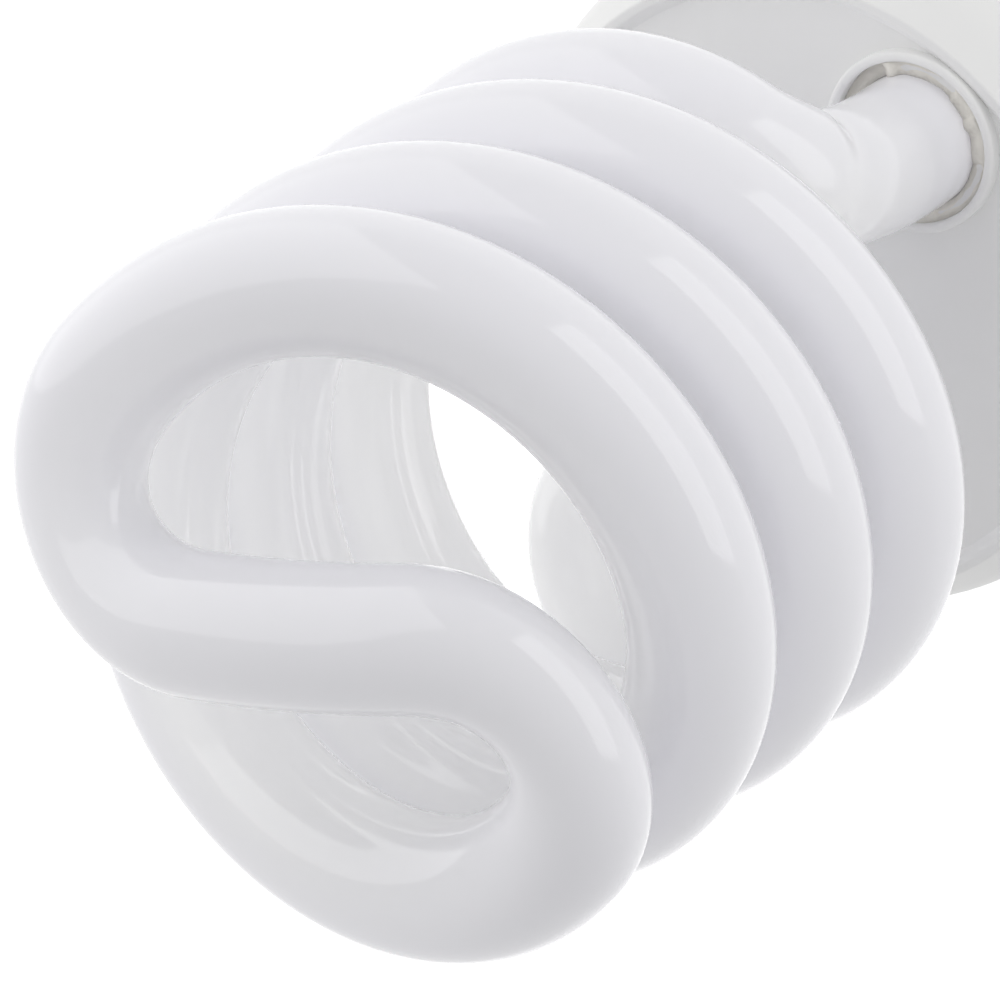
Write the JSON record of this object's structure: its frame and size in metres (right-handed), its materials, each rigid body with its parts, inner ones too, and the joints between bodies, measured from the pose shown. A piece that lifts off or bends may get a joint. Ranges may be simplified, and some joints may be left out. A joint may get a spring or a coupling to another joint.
{
  "type": "spiral energy saving bulb",
  "caption": "Compact fluorescent lamp with a white spiral tube folded back across its tip, on a moulded ballast housing with an E27 screw cap.",
  "frame": {"origin": "on the lamp axis at the rim of the screw shell, where the lamp seats in its holder", "axes": "+Z along the lamp axis towards the tip of the spiral, +X towards one leg of the tube"},
  "size_m": [0.064, 0.064, 0.1719],
  "materials": {
    "opal_glass": "glossy opal white, coated inside",
    "white_plastic": "smooth matte white",
    "cement": "dull off-white",
    "cap_metal": "bright nickel plate",
    "black_insulator": "black vitrified insulator",
    "contact_metal": "plated contact",
    "board": "tan laminate",
    "ferrite": "dull dark grey",
    "copper_wire": "enamelled copper",
    "black_sleeve": "shrink sleeve",
    "film_capacitor": "dipped resin",
    "black_resin": "moulded resin",
    "resistor_body": "coated body",
    "tinned_wire": "tinned"
  },
  "bodies": {
    "root": {"spiral_tube": "opal_glass", "tube_plate": "white_plastic", "leg_cement_a": "cement", "leg_cement_b": "cement", "ballast_housing": "white_plastic", "screw_shell": "cap_metal", "cap_insulator": "black_insulator", "centre_contact": "contact_metal", "circuit_board": "board", "choke_core": "ferrite", "choke_winding": "copper_wire", "storage_capacitor": "black_sleeve", "resonant_capacitor": "film_capacitor", "coupling_capacitor": "film_capacitor", "transistor_upper": "black_resin", "transistor_lower": "black_resin", "drive_toroid": "ferrite", "filter_choke": "black_sleeve", "fuse_resistor": "resistor_body", "live_lead": "tinned_wire", "fuse_lead": "tinned_wire", "neutral_lead": "tinned_wire", "rectifier_diode_1": "black_resin", "filament_lead_1": "tinned_wire", "rectifier_diode_2": "black_resin", "filament_lead_2": "tinned_wire", "rectifier_diode_3": "black_resin", "filament_lead_3": "tinned_wire", "rectifier_diode_4": "black_resin", "filament_lead_4": "tinned_wire"}
  },
  "joints": []
}
